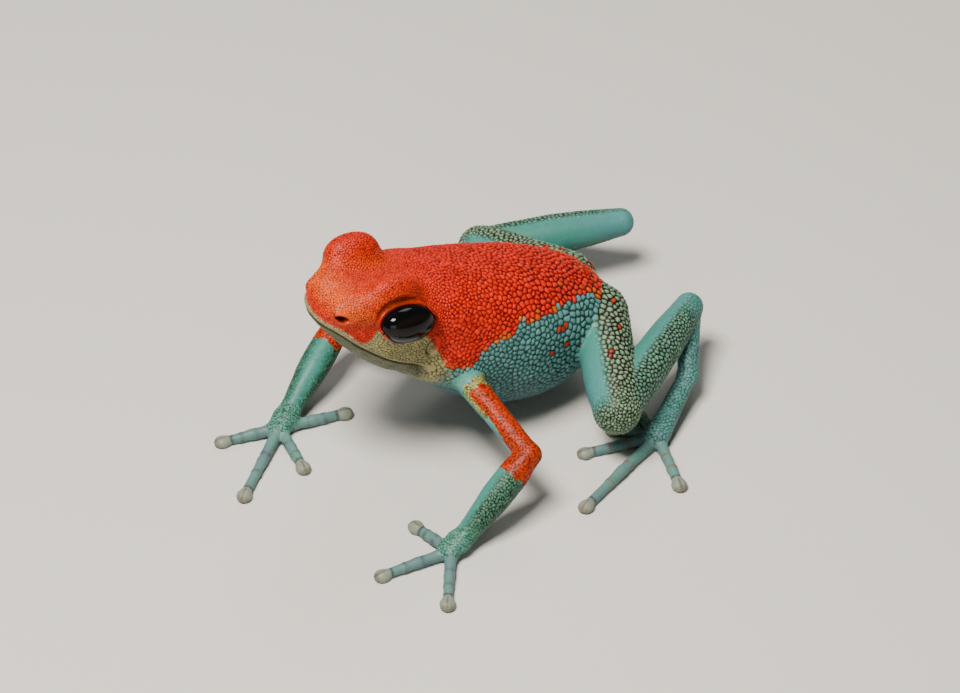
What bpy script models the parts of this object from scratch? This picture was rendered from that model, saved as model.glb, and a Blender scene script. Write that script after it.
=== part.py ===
"""Granular poison frog, life size, sitting up on its hands with the hind legs folded.

Lengths here are millimetres until the last step, which scales every mesh to
metres. Two frames are used:
  body frame   f = forward from the vent, l = to the frog's left, n = up from the
               line between vent and snout;
  world frame  +X the frog's left, -Y where it looks, +Z up, floor at z = 0.
"""

import math

import bmesh
import bpy
import numpy as np
from mathutils import Matrix, Vector

# ---------------------------------------------------------------- driving sizes
SNOUT_VENT = 20.0  # length of head and body
BODY_PITCH = math.radians(18.0)  # the front is held up
HEAD_ROLL = math.radians(6.0)  # the left side of the head is a little lower
HEAD_YAW = math.radians(5.0)  # and it looks a little to the left
SNOUT_LEAN = 0.17  # the top of the snout stands out past the mouth
HEAD_PIVOT = 15.5  # the turn is about this station
HEAD_FROM = (11.5, 14.5)  # along the body the turn comes in between these
VENT_HEIGHT = 5.0
SHIFT = Vector((-0.488, 8.785, 0.0))  # moves the middle of the bounding box over the origin
GAP = 0.28  # between neighbouring solids
MM = 0.001

# Stations of head and trunk: f, half width, top, bottom, squareness of the section
STATIONS = (
    (-0.80, 1.40, 0.80, -2.05, 2.0),
    (0.30, 2.72, 1.80, -3.85, 2.1),
    (2.00, 3.80, 2.50, -5.30, 2.2),
    (4.20, 4.25, 2.85, -5.95, 2.25),
    (6.40, 4.50, 3.05, -6.05, 2.3),
    (8.60, 4.45, 3.15, -5.50, 2.3),
    (10.60, 4.10, 3.20, -4.65, 2.4),
    (12.20, 3.70, 3.25, -3.95, 2.5),
    (13.60, 3.45, 3.25, -3.35, 2.6),
    (15.20, 3.20, 3.15, -2.80, 2.6),
    (16.80, 2.80, 3.05, -2.05, 2.7),
    (18.20, 2.45, 2.95, -1.25, 2.6),
    (19.20, 2.10, 2.70, -0.60, 2.5),
    (19.85, 1.50, 2.25, -0.15, 2.3),
)
NECK_F = 12.7  # where the head is parted from the trunk
BODY_VOXEL = 0.24
BODY_SMOOTH = 6
BODY_KEEP = 0.055  # share of the remeshed faces that is kept

# Eyes
EYE = (15.77, 3.14, 1.98)  # centre of the ball, left side, body frame
EYE_BALL = (1.80, 1.02, 1.16)  # half sizes along f, l, n
EYE_DEEPER = 1.45  # the inner half of the ball is this much deeper than the outer half
EYE_IN = 0.30  # the right eye is drawn in by this
EYE_GAP = 0.16
LID_FROM = 2.75  # the lids open outward of this
SWEEP = (0.85, 0.80)  # the left lids are open forward and up by this for each millimetre outward
BROW = (16.15, 1.62, 2.68)
BROW_SIZE = (1.84, 1.00, 1.52)
BROW_LIFT = (0.37, 0.60, 0.08)  # the right brow bulges this much more
BROW_GROW = (0.0, 0.32, 0.04)  # and is larger by this

# Mouth line from the tip of the snout to the corner: f, n
MOUTH = ((21.0, 0.60), (20.1, 0.64), (19.7, 0.60), (19.1, 0.40), (18.2, -0.06), (17.4, -0.41), (16.3, -0.84), (15.3, -1.13), (13.4, -1.40))

# Limb joints, world frame
ARM_L = dict(
    shoulder=(3.70, -10.85, 6.20),
    elbow=(9.75, -10.05, 4.35),
    wrist=(10.60, -14.75, 1.00),
    palm=(10.80, -15.85, 0.60),
    digits=((9.55, -13.15), (7.94, -16.47), (10.41, -20.09), (14.25, -18.08)),
)
ARM_R = dict(
    shoulder=(-3.30, -10.60, 6.10),
    elbow=(-6.90, -13.30, 3.40),
    wrist=(-4.10, -18.10, 1.00),
    palm=(-3.40, -19.25, 0.60),
    digits=((-2.79, -15.25), (0.13, -19.63), (0.50, -23.69), (-4.25, -22.59)),
)
LEG_L = dict(
    hip=(1.80, -0.40, 5.00),
    knee=(8.45, -3.30, 3.70),
    heel=(3.10, 5.10, 4.05),
    mid=(6.25, 3.10, 1.90),
    ball=(8.60, -0.50, 0.66),
    digits=((6.45, -0.30), (6.60, -2.30), (7.46, -4.75), (11.37, -7.11), (12.55, -1.51)),
)
LEG_R = dict(
    hip=(-1.80, -0.40, 5.00),
    knee=(-8.60, -2.40, 3.45),
    heel=(-5.87, 5.88, 4.00),
    mid=(-9.30, 3.20, 1.90),
    ball=(-11.00, -1.00, 0.66),
    digits=((-8.80, -1.08), (-8.70, -2.80), (-9.50, -5.13), (-12.00, -8.03), (-13.30, -4.00)),
)
# Radii along each length of limb, from its near end to its far end
UPPER_ARM = (0.85, 0.76, 0.72, 0.69, 0.67)
FOREARM = (0.70, 0.90, 0.92, 0.78, 0.62)
PALM = (0.64, 0.80, 0.70)
THIGH = (1.75, 1.70, 1.62, 1.58, 1.40)
SHANK = (1.22, 1.28, 1.26, 1.12, 0.86)
TARSUS = (0.78, 0.66, 0.60)
SOLE = (0.60, 0.64, 0.76)
FINGER_ROOT, TOE_ROOT = 1.05, 1.50  # from the middle of the palm or ball
FINGER_R, TOE_R = 0.32, 0.32
PAD_R, PAD_H = 0.50, 0.34


# ---------------------------------------------------------------- small helpers
def clear():
    for obj in list(bpy.data.objects):
        bpy.data.objects.remove(obj, do_unlink=True)
    for mesh in list(bpy.data.meshes):
        bpy.data.meshes.remove(mesh)


def body(f, l, n):
    """Body frame to world frame."""
    f += SNOUT_LEAN * (n - 1.2) * min(1.0, max(0.0, (f - 16.0) / 3.5))
    t = min(1.0, max(0.0, (f - HEAD_FROM[0]) / (HEAD_FROM[1] - HEAD_FROM[0])))
    t = t * t * (3 - 2 * t)
    roll, yaw = HEAD_ROLL * t, HEAD_YAW * t
    l, n = l * math.cos(roll) + n * math.sin(roll), n * math.cos(roll) - l * math.sin(roll)
    f, l = f - l * math.sin(yaw), l + (f - HEAD_PIVOT) * math.sin(yaw)
    c, s = math.cos(BODY_PITCH), math.sin(BODY_PITCH)
    return Vector((l, -f * c + n * s, VENT_HEIGHT + f * s + n * c))


def body_axes():
    c, s = math.cos(BODY_PITCH), math.sin(BODY_PITCH)
    return Vector((0, -c, s)), Vector((1, 0, 0)), Vector((0, s, c))


def smooth_table(table, step):
    """Rows of a table, resampled with a monotone cubic through each column."""
    t = np.array(table, float)
    x = t[:, 0]
    xs = np.linspace(x[0], x[-1], max(2, int(round((x[-1] - x[0]) / step)) + 1))
    cols = [xs]
    for k in range(1, t.shape[1]):
        y = t[:, k]
        h = np.diff(x)
        d = np.diff(y) / h
        m = np.zeros(len(x))
        m[0], m[-1] = d[0], d[-1]
        for i in range(1, len(x) - 1):
            if d[i - 1] * d[i] > 0:
                a, b = 2 * h[i] + h[i - 1], h[i] + 2 * h[i - 1]
                m[i] = (a + b) / (a / d[i - 1] + b / d[i])
        i = np.clip(np.searchsorted(x, xs, side="right") - 1, 0, len(h) - 1)
        u = (xs - x[i]) / h[i]
        cols.append(
            y[i] * (1 + 2 * u) * (1 - u) ** 2
            + h[i] * m[i] * u * (1 - u) ** 2
            + y[i + 1] * u * u * (3 - 2 * u)
            + h[i] * m[i + 1] * u * u * (u - 1)
        )
    return np.stack(cols, 1)


def new_object(name, mesh, collection):
    obj = bpy.data.objects.new(name, mesh)
    collection.objects.link(obj)
    return obj


def mesh_from_bmesh(name, bm):
    bmesh.ops.recalc_face_normals(bm, faces=bm.faces)
    mesh = bpy.data.meshes.new(name)
    bm.to_mesh(mesh)
    bm.free()
    return mesh


def loft(name, rings, collection):
    """Closed skin over a list of rings with the same number of points."""
    bm = bmesh.new()
    rows = [[bm.verts.new(p) for p in ring] for ring in rings]
    count = len(rows[0])
    for a, b in zip(rows, rows[1:]):
        for i in range(count):
            j = (i + 1) % count
            bm.faces.new((a[i], a[j], b[j], b[i]))
    bm.faces.new(rows[0])
    bm.faces.new(list(reversed(rows[-1])))
    return new_object(name, mesh_from_bmesh(name, bm), collection)


def tube(name, path, radii, collection, sides=12, flat=1.0, up=(0, 0, 1), step=1.4, caps=(0.30, 0.68, 0.92)):
    """A limb: rings along a smooth path, with round ends. flat < 1 presses it along up."""
    points = np.array(path, float)
    steps = np.concatenate([[0], np.cumsum(np.linalg.norm(np.diff(points, axis=0), axis=1))])
    total = steps[-1]
    marks = np.linspace(0, total, len(radii))
    count = max(3, int(round(total / step)))
    along = np.linspace(0, total, count + 1)
    centre = np.stack([np.interp(along, steps, points[:, k]) for k in range(3)], 1)
    for _ in range(2):  # rounds the corners of the path
        centre[1:-1] = 0.25 * centre[:-2] + 0.5 * centre[1:-1] + 0.25 * centre[2:]
    table = smooth_table(np.stack([marks, radii], 1), total / count)
    radius = np.interp(along, table[:, 0], table[:, 1])
    start = (centre[1] - centre[0]) / np.linalg.norm(centre[1] - centre[0])
    end = (centre[-1] - centre[-2]) / np.linalg.norm(centre[-1] - centre[-2])
    # caps: share of the radius at each ring of a round end
    first = [(centre[0] - start * radius[0] * math.sqrt(1 - c * c), radius[0] * c) for c in caps]
    last = [(centre[-1] + end * radius[-1] * math.sqrt(1 - c * c), radius[-1] * c) for c in reversed(caps)]
    whole = first + [(c, r) for c, r in zip(centre, radius)] + last
    middle = np.array([c for c, _ in whole])
    tangent = np.gradient(middle, axis=0)
    side = np.cross(np.array(up, float), tangent[0])
    if np.linalg.norm(side) < 1e-6 * np.linalg.norm(tangent[0]):
        side = np.cross((1.0, 0.0, 0.0), tangent[0])
    rings = []
    for (c, r), t in zip(whole, tangent):
        t = t / np.linalg.norm(t)
        side = side - t * (side @ t)
        side = side / np.linalg.norm(side)
        top = np.cross(t, side)
        rings.append(
            [
                Vector(c + r * (math.cos(a) * side + flat * math.sin(a) * top))
                for a in (2 * math.pi * i / sides for i in range(sides))
            ]
        )
    return loft(name, rings, collection)


def ellipsoid(name, centre, half, axes, collection, segments=24, rings=14, inward=0, deeper=1.0):
    """inward is the sign along the second axis on which the ball is deeper."""
    bm = bmesh.new()
    bmesh.ops.create_uvsphere(bm, u_segments=segments, v_segments=rings, radius=1.0)
    for v in bm.verts:
        if v.co.y * inward > 0:
            v.co.y *= deeper
    turn = Matrix(((axes[0].x, axes[1].x, axes[2].x), (axes[0].y, axes[1].y, axes[2].y), (axes[0].z, axes[1].z, axes[2].z)))
    scale = Matrix.Diagonal(Vector(half))
    matrix = Matrix.Translation(centre) @ (turn @ scale).to_4x4()
    bmesh.ops.transform(bm, matrix=matrix, verts=bm.verts)
    return new_object(name, mesh_from_bmesh(name, bm), collection)


def evaluate(obj):
    """Applies every modifier of the object."""
    bpy.context.view_layer.update()
    graph = bpy.context.evaluated_depsgraph_get()
    mesh = bpy.data.meshes.new_from_object(obj.evaluated_get(graph))
    obj.modifiers.clear()
    old = obj.data
    obj.data = mesh
    bpy.data.meshes.remove(old)


def boolean(obj, cutter, operation, keep_cutter=False):
    modifier = obj.modifiers.new("cut", "BOOLEAN")
    modifier.operation = operation
    modifier.solver = "EXACT"
    modifier.object = cutter
    evaluate(obj)
    if not keep_cutter:
        bpy.data.objects.remove(cutter, do_unlink=True)


def slice_off(obj, point, normal):
    """Removes what lies on the side that the normal points to, and closes the face."""
    bm = bmesh.new()
    bm.from_mesh(obj.data)
    bmesh.ops.bisect_plane(
        bm,
        geom=bm.verts[:] + bm.edges[:] + bm.faces[:],
        dist=1e-5,
        plane_co=point,
        plane_no=normal,
        clear_outer=True,
    )
    rim = [e for e in bm.edges if e.is_boundary]
    if rim:
        bmesh.ops.holes_fill(bm, edges=rim, sides=0)
    bmesh.ops.recalc_face_normals(bm, faces=bm.faces)
    bm.to_mesh(obj.data)
    bm.free()


def bisector(a, b, c):
    """Normal of the plane that parts a-b from b-c at b, pointing to c's side."""
    a, b, c = Vector(a), Vector(b), Vector(c)
    return ((b - a).normalized() + (c - b).normalized()).normalized()


def part_at(near, far, a, b, c):
    normal = bisector(a, b, c)
    slice_off(near, Vector(b) - normal * GAP / 2, normal)
    slice_off(far, Vector(b) + normal * GAP / 2, -normal)


def copy_of(obj, name, collection):
    return new_object(name, obj.data.copy(), collection)


def material(name, colour, roughness, metallic=0.0):
    mat = bpy.data.materials.new(name)
    mat.use_nodes = True
    shader = mat.node_tree.nodes["Principled BSDF"]
    shader.inputs["Base Color"].default_value = (*colour, 1.0)
    shader.inputs["Roughness"].default_value = roughness
    shader.inputs["Metallic"].default_value = metallic
    mat.diffuse_color = (*colour, 1.0)
    return mat


# ---------------------------------------------------------------- head and trunk
def body_loft(collection, grow=0.0, name="body"):
    table = smooth_table(STATIONS, 0.5)
    sides = 32
    rings = []
    for f, w, top, bottom, square in table:
        w, top, bottom = w + grow, top + grow, bottom - grow
        middle = 0.35 * (top + bottom)
        ring = []
        for i in range(sides):
            a = 2 * math.pi * i / sides
            c, s = math.cos(a), math.sin(a)
            reach = (abs(c) ** square + abs(s) ** square) ** (-1 / square)
            height = (top - middle) if s > 0 else (middle - bottom)
            ring.append(body(f, w * c * reach, middle + height * s * reach))
        rings.append(ring)
    # a rounded nose and rump close the two ends
    for k, direction in ((0, -1), (-1, 1)):
        f, w, top, bottom, square = table[k]
        centre = sum(rings[k], Vector()) / sides
        depth = 0.55 if k == 0 else 0.30
        push = body_axes()[0] * direction
        caps = [[centre + (p - centre) * c + push * (depth * math.sqrt(1 - c * c) + 1e-4) for p in rings[k]] for c in (0.85, 0.5)]
        rings = list(reversed(caps)) + rings if k == 0 else rings + caps
    return loft(name, rings, collection)


def join(objects, name, collection):
    bm = bmesh.new()
    for obj in objects:
        bm.from_mesh(obj.data)
        bpy.data.objects.remove(obj, do_unlink=True)
    mesh = bpy.data.meshes.new(name)
    bm.to_mesh(mesh)
    bm.free()
    return new_object(name, mesh, collection)


def remesh(obj, voxel, smooth, keep):
    step = obj.modifiers.new("remesh", "REMESH")
    step.mode = "VOXEL"
    step.voxel_size = voxel
    step = obj.modifiers.new("smooth", "SMOOTH")
    step.factor = 0.5
    step.iterations = smooth
    step = obj.modifiers.new("decimate", "DECIMATE")
    step.ratio = keep
    step.use_symmetry = False
    evaluate(obj)


def mouth_block(name, offset, collection):
    """A block under the mouth line: its top follows the line, moved up by offset."""
    table = smooth_table(tuple(reversed(MOUTH)), 0.8)
    bm = bmesh.new()
    rows = []
    for f, n in table:
        rows.append([bm.verts.new(body(f, l, h)) for l, h in ((-5, n + offset), (5, n + offset), (5, -6), (-5, -6))])
    for a, b in zip(rows, rows[1:]):
        for i in range(4):
            j = (i + 1) % 4
            bm.faces.new((a[i], a[j], b[j], b[i]))
    bm.faces.new(rows[0])
    bm.faces.new(list(reversed(rows[-1])))
    return new_object(name, mesh_from_bmesh(name, bm), collection)


def lid_opening(s, out, up, collection, sweep=(0.0, 0.0)):
    """An oval drum looking sideways, as large as the ball, whose inner end leans over the top of the eye.
    The half of its outer end that faces forward and up is swept that way, for each millimetre outward."""
    lean_n, lean_f = (0.45, 0.12) if s > 0 else (-0.30, 0.35)
    rings = []
    for outer in (False, True):
        ring = []
        for i in range(24):
            a = 2 * math.pi * i / 24
            f, n = EYE[0] + (EYE_BALL[0] + 0.06) * math.cos(a), up + (EYE_BALL[2] + 0.06) * math.sin(a)
            l = out - EYE[1] + LID_FROM - lean_n * (n - up) - lean_f * (f - EYE[0])
            past = 5.6 - l if outer else 0.0
            swept = past if sweep[0] * math.cos(a) / EYE_BALL[0] + sweep[1] * math.sin(a) / EYE_BALL[2] > 0 else 0.0
            ring.append(body(f + sweep[0] * swept, s * (l + past), n + sweep[1] * swept))
        rings.append(ring)
    return loft("opening", rings, collection)


# ---------------------------------------------------------------- build
def main():
    clear()
    scene = bpy.context.scene
    parts = bpy.data.collections.new("granular_poison_frog")
    cutters = bpy.data.collections.new("cutters")
    scene.collection.children.link(parts)
    scene.collection.children.link(cutters)
    cutters.hide_render = True

    red = material("skin_red", (0.78, 0.06, 0.01), 0.45)
    teal = material("skin_teal", (0.08, 0.28, 0.28), 0.45)
    pale = material("skin_pale_teal", (0.25, 0.50, 0.46), 0.45)
    cream = material("skin_cream_grey", (0.42, 0.38, 0.26), 0.5)
    black = material("eye_black", (0.004, 0.004, 0.005), 0.05)

    forward, left, up = body_axes()
    nodes = {}

    # head and trunk as one smooth form, then parted at the neck and along the mouth
    pieces = [body_loft(cutters)]
    for s in (1, -1):
        more = 1.0 if s < 0 else 0.0
        place = [BROW[k] + more * BROW_LIFT[k] for k in range(3)]
        size = [BROW_SIZE[k] + more * BROW_GROW[k] for k in range(3)]
        pieces.append(ellipsoid("brow", body(place[0], s * place[1], place[2]), size, (forward, left, up), cutters))
        pieces.append(ellipsoid("shoulder", body(11.0, s * 2.6, -1.3), (1.9, 1.5, 1.6), (forward, left, up), cutters))
        pieces.append(ellipsoid("hip", body(2.6, s * 1.5, -0.5), (2.0, 1.5, 1.9), (forward, left, up), cutters))
    whole = join(pieces, "whole", cutters)
    remesh(whole, BODY_VOXEL, BODY_SMOOTH, BODY_KEEP)

    trunk = copy_of(whole, "trunk", parts)
    slice_off(trunk, body(NECK_F - GAP / 2, 0, 0), forward)
    head = whole
    slice_off(head, body(NECK_F + GAP / 2, 0, 0), -forward)
    jaw = copy_of(head, "lower_jaw", parts)
    boolean(jaw, mouth_block("under", -GAP / 2, cutters), "INTERSECT")
    boolean(head, mouth_block("under", GAP / 2, cutters), "DIFFERENCE")
    head.name = "head"
    cutters.objects.unlink(head)
    parts.objects.link(head)
    nodes.update(head=(head, red), lower_jaw=(jaw, cream), trunk=(trunk, teal))

    for side, s in (("left", 1), ("right", -1)):
        out, high = (EYE[1], EYE[2]) if s > 0 else (EYE[1] - EYE_IN, EYE[2] - EYE_IN / 2)
        centre = body(EYE[0], s * out, high)
        shape = dict(inward=-s, deeper=EYE_DEEPER)
        socket = ellipsoid("socket", centre, [h + EYE_GAP for h in EYE_BALL], (forward, left, up), cutters, 22, 12, **shape)
        boolean(head, socket, "DIFFERENCE")
        boolean(head, lid_opening(s, out, high, cutters, SWEEP if s > 0 else (0.0, 0.0)), "DIFFERENCE")
        eye = ellipsoid("eye_" + side, centre, EYE_BALL, (forward, left, up), parts, 18, 10, **shape)
        nodes[eye.name] = (eye, black)

    # what the limbs must stay clear of
    grown = body_loft(cutters, GAP + 0.04, "grown_body")
    masses = [grown]
    for s in (1, -1):
        masses.append(ellipsoid("shoulder", body(11.0, s * 2.6, -1.3), (2.2, 1.8, 1.9), (forward, left, up), cutters))
        masses.append(ellipsoid("hip", body(2.6, s * 1.5, -0.5), (2.3, 1.8, 2.2), (forward, left, up), cutters))
    for extra in masses[1:]:
        boolean(grown, extra, "UNION")

    for side, arm, leg in (("left", ARM_L, LEG_L), ("right", ARM_R, LEG_R)):
        # arm
        upper = tube("upper_arm_" + side, [arm["shoulder"], arm["elbow"]], UPPER_ARM, parts)
        fore = tube("forearm_" + side, [arm["elbow"], arm["wrist"]], FOREARM, parts)
        part_at(upper, fore, arm["shoulder"], arm["elbow"], arm["wrist"])
        hand = tube("hand_" + side, [arm["wrist"], arm["palm"]], PALM, parts, flat=0.75)
        part_at(fore, hand, arm["elbow"], arm["wrist"], arm["palm"])
        boolean(upper, grown, "DIFFERENCE", True)
        nodes[upper.name], nodes[fore.name], nodes[hand.name] = (upper, red), (fore, pale), (hand, pale)
        add_digits("finger", side, arm["palm"], arm["digits"], hand, FINGER_R, FINGER_ROOT, parts, cutters, nodes, pale)
        # leg
        thigh = tube("thigh_" + side, [leg["hip"], leg["knee"]], THIGH, parts)
        shank = tube("shank_" + side, [leg["knee"], leg["heel"]], SHANK, parts)
        part_at(thigh, shank, leg["hip"], leg["knee"], leg["heel"])
        tarsus = tube("tarsus_" + side, [leg["heel"], leg["mid"]], TARSUS, parts)
        part_at(shank, tarsus, leg["knee"], leg["heel"], leg["mid"])
        foot = tube("foot_" + side, [leg["mid"], leg["ball"]], SOLE, parts, flat=0.85)
        part_at(tarsus, foot, leg["heel"], leg["mid"], leg["ball"])
        boolean(thigh, grown, "DIFFERENCE", True)
        for obj in (thigh, shank, tarsus, foot):
            nodes[obj.name] = (obj, pale)
        add_digits("toe", side, leg["ball"], leg["digits"], foot, TOE_R, TOE_ROOT, parts, cutters, nodes, pale)
    bpy.data.objects.remove(grown, do_unlink=True)

    for name, (obj, mat) in nodes.items():
        slice_off(obj, Vector((0, 0, 0)), Vector((0, 0, -1)))  # one level under hands and feet
        obj.data.transform(Matrix.Scale(MM, 4) @ Matrix.Translation(SHIFT))
        obj.data.materials.clear()
        obj.data.materials.append(mat)
        obj.data.shade_smooth()
        obj.data.set_sharp_from_angle(angle=math.radians(40))


def add_digits(word, side, palm, tips, hand, radius, reach, parts, cutters, nodes, mat):
    """Digits in a fan from the palm: a thin tube with a round pad, flat underneath."""
    for k, tip in enumerate(tips):
        tip = Vector((*tip, 0.24))
        out = Vector((tip.x - palm[0], tip.y - palm[1], 0)).normalized()
        root = Vector((palm[0], palm[1], 0.36)) + out * reach
        name = f"{word}_{side}_{k + 1}"
        digit = tube(name, [root - out * 0.4, root.lerp(tip, 0.5) + Vector((0, 0, 0.06)), tip], (radius, radius * 0.92, radius * 0.9), parts, sides=7, step=2.0, caps=(0.8,))
        pad = ellipsoid("pad", tip + out * 0.05, (PAD_R, PAD_R * 0.92, PAD_H), (out, Vector((-out.y, out.x, 0)), Vector((0, 0, 1))), cutters, 9, 6)
        boolean(digit, pad, "UNION")
        slice_off(digit, root, -out)
        middle = Vector((palm[0], palm[1], 0.42))
        stub = tube("stub", [middle, root + out * 0.3], (radius + 0.16, radius + 0.08), cutters, sides=7, step=4.0, caps=(0.8,))
        slice_off(stub, root - out * GAP, out)
        boolean(hand, stub, "UNION")
        nodes[name] = (digit, mat)


main()
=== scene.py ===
"""Looks of the granular poison frog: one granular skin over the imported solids, two glossy eyes,
a plain floor, soft light and the camera.

The skin is made here from the same named sizes as the solids, as a signed distance field in
millimetres. Two frames are used:
  body frame   f = forward from the vent, l = to the frog's left, n = up from the line
               between vent and snout;
  world frame  +X the frog's left, -Y where it looks, +Z up, floor at z = 0, with the vent
               over the origin. SHIFT and MM bring it to the row's frame in metres.
"""

import math

import bpy
import numpy as np
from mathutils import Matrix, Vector, kdtree


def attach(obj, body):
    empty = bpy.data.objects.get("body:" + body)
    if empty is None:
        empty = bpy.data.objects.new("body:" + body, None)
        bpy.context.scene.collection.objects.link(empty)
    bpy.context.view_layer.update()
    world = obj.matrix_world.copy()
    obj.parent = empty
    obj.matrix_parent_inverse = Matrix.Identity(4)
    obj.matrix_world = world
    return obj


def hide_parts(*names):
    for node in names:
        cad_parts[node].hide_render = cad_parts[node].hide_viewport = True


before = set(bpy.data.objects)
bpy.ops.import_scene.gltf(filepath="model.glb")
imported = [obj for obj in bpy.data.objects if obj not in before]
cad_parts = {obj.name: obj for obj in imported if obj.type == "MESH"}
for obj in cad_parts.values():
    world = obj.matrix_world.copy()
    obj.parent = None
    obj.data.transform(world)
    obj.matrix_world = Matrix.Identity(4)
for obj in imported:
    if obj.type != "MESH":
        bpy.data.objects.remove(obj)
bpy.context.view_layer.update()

# ================================================================ form: sizes
SHIFT = np.array((-0.488, 8.785, 0.0))
MM = 0.001
BODY_PITCH = math.radians(18.0)
HEAD_ROLL = math.radians(6.0)
HEAD_YAW = math.radians(5.0)
SNOUT_LEAN = 0.17
HEAD_PIVOT = 15.5
HEAD_FROM = (11.5, 14.5)
VENT_HEIGHT = 5.0

# Stations of head and trunk: f, half width, top, bottom, squareness of the section
STATIONS = (
    (-0.70, 2.35, 1.75, -3.20, 2.0),
    (0.30, 2.95, 2.05, -4.10, 2.1),
    (2.00, 3.70, 2.45, -5.15, 2.2),
    (4.20, 4.25, 2.85, -5.95, 2.25),
    (6.40, 4.50, 3.05, -6.05, 2.3),
    (8.60, 4.45, 3.15, -5.50, 2.3),
    (10.60, 4.10, 3.20, -4.65, 2.4),
    (12.20, 3.70, 3.25, -3.95, 2.5),
    (13.60, 3.45, 3.25, -3.35, 2.6),
    (15.20, 3.20, 3.15, -2.80, 2.6),
    (16.80, 2.80, 3.05, -2.05, 2.7),
    (18.20, 2.40, 2.90, -1.25, 2.6),
    (19.20, 2.12, 2.66, -0.60, 2.5),
    (20.20, 1.92, 2.40, -0.10, 2.4),
)
RUMP_END, SNOUT_END = (2.2, -1.15, 2.2), (18.0, 20.20, 2.3)  # where the round end starts and stops, and how blunt it is

EYE = (15.77, 3.14, 1.98)
EYE_BALL = (1.80, 1.02, 1.16)
EYE_IN = 0.30  # how much deeper the right eye is drawn in, so that the camera sees a sliver of it
LID_FROM = 2.75  # the lids open outward of this
SWEEP = (0.85, 0.80)  # how far the left opening is swept forward and up for each millimetre outward
CANTHUS = ((17.1, 1.75, 2.30), (18.7, 1.15, 1.75), (0.66, 0.74))  # ridge from brow to snout, and its radii
JAW_ANGLE, JAW_ANGLE_SIZE = (12.9, 3.0, -1.75), (1.05, 0.75, 0.85)
BROW = (16.15, 1.60, 2.72)
BROW_SIZE = (1.74, 0.86, 1.38)
BROW_LIFT = (0.37, 0.60, 0.08)  # the right brow bulges this much more, over its drawn-in eye
BROW_GROW = (0.0, 0.32, 0.04)  # and is larger by this
SHOULDER, SHOULDER_SIZE = (11.0, 2.6, -1.3), (1.9, 1.5, 1.6)
HIP, HIP_SIZE = (2.6, 1.5, -0.5), (2.0, 1.5, 1.9)
MOUTH = ((21.0, 0.60), (20.1, 0.64), (19.7, 0.60), (19.1, 0.40), (18.2, -0.06), (17.4, -0.41), (16.3, -0.84), (15.3, -1.13), (13.9, -1.36), (13.2, -1.42))
NOSTRIL = (19.36, 1.66, 1.70)

ARM_L = dict(
    shoulder=(3.70, -10.85, 6.20),
    elbow=(9.75, -10.05, 4.35),
    wrist=(10.60, -14.75, 1.00),
    palm=(10.80, -15.85, 0.60),
    digits=((9.55, -13.15), (7.94, -16.47), (10.41, -20.09), (14.25, -18.08)),
)
ARM_R = dict(
    shoulder=(-3.30, -10.60, 6.10),
    elbow=(-6.90, -13.30, 3.40),
    wrist=(-4.10, -18.10, 1.00),
    palm=(-3.40, -19.25, 0.60),
    digits=((-2.79, -15.25), (0.13, -19.63), (0.50, -23.69), (-4.25, -22.59)),
)
LEG_L = dict(
    hip=(1.80, -0.40, 5.00),
    knee=(8.45, -3.30, 3.70),
    heel=(3.10, 5.10, 4.05),
    mid=(6.25, 3.10, 1.90),
    ball=(8.60, -0.50, 0.66),
    digits=((6.45, -0.30), (6.60, -2.30), (7.46, -4.75), (11.37, -7.11), (12.55, -1.51)),
)
LEG_R = dict(
    hip=(-1.80, -0.40, 5.00),
    knee=(-8.60, -2.40, 3.45),
    heel=(-5.87, 5.88, 4.00),
    mid=(-9.30, 3.20, 1.90),
    ball=(-11.00, -1.00, 0.66),
    digits=((-8.80, -1.08), (-8.70, -2.80), (-9.50, -5.13), (-12.00, -8.03), (-13.30, -4.00)),
)
# Radii along each length of limb, from its near end to its far end
UPPER_ARM = (0.85, 0.76, 0.72, 0.69, 0.67)
FOREARM = (0.70, 0.90, 0.92, 0.78, 0.62)
PALM = (0.64, 0.80, 0.70)
THIGH = (1.75, 1.70, 1.62, 1.58, 1.40)
SHANK = (1.22, 1.28, 1.26, 1.12, 0.86)
TARSUS = (0.78, 0.66, 0.60)
SOLE = (0.60, 0.64, 0.76)
DIGIT_R = 0.32
PAD = (0.50, 0.46, 0.34)


# ================================================================ form: tools
def smin(a, b, k):
    h = np.maximum(k - np.abs(a - b), 0.0) / k
    return np.minimum(a, b) - h * h * k * 0.25


def smax(a, b, k):
    return -smin(-a, -b, k)


def ramp(x, low, high):
    """0 below low, 1 above high, smooth between."""
    t = np.clip((x - low) / (high - low), 0.0, 1.0)
    return t * t * (3 - 2 * t)


def bump(x, middle, width):
    return np.exp(-(((x - middle) / width) ** 2))


def smooth_table(table, step):
    """Rows of a table, resampled with a monotone cubic through each column."""
    t = np.array(table, float)
    x = t[:, 0]
    xs = np.linspace(x[0], x[-1], max(2, int(round((x[-1] - x[0]) / step)) + 1))
    cols = [xs]
    for k in range(1, t.shape[1]):
        y = t[:, k]
        h = np.diff(x)
        d = np.diff(y) / h
        m = np.zeros(len(x))
        m[0], m[-1] = d[0], d[-1]
        for i in range(1, len(x) - 1):
            if d[i - 1] * d[i] > 0:
                a, b = 2 * h[i] + h[i - 1], h[i] + 2 * h[i - 1]
                m[i] = (a + b) / (a / d[i - 1] + b / d[i])
        i = np.clip(np.searchsorted(x, xs, side="right") - 1, 0, len(h) - 1)
        u = (xs - x[i]) / h[i]
        cols.append(
            y[i] * (1 + 2 * u) * (1 - u) ** 2
            + h[i] * m[i] * u * (1 - u) ** 2
            + y[i + 1] * u * u * (3 - 2 * u)
            + h[i] * m[i + 1] * u * u * (u - 1)
        )
    return np.stack(cols, 1)


BODY_TABLE = smooth_table(STATIONS, 0.05)
MOUTH_TABLE = smooth_table(tuple(reversed(MOUTH)), 0.05)
COS_P, SIN_P = math.cos(BODY_PITCH), math.sin(BODY_PITCH)


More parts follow.
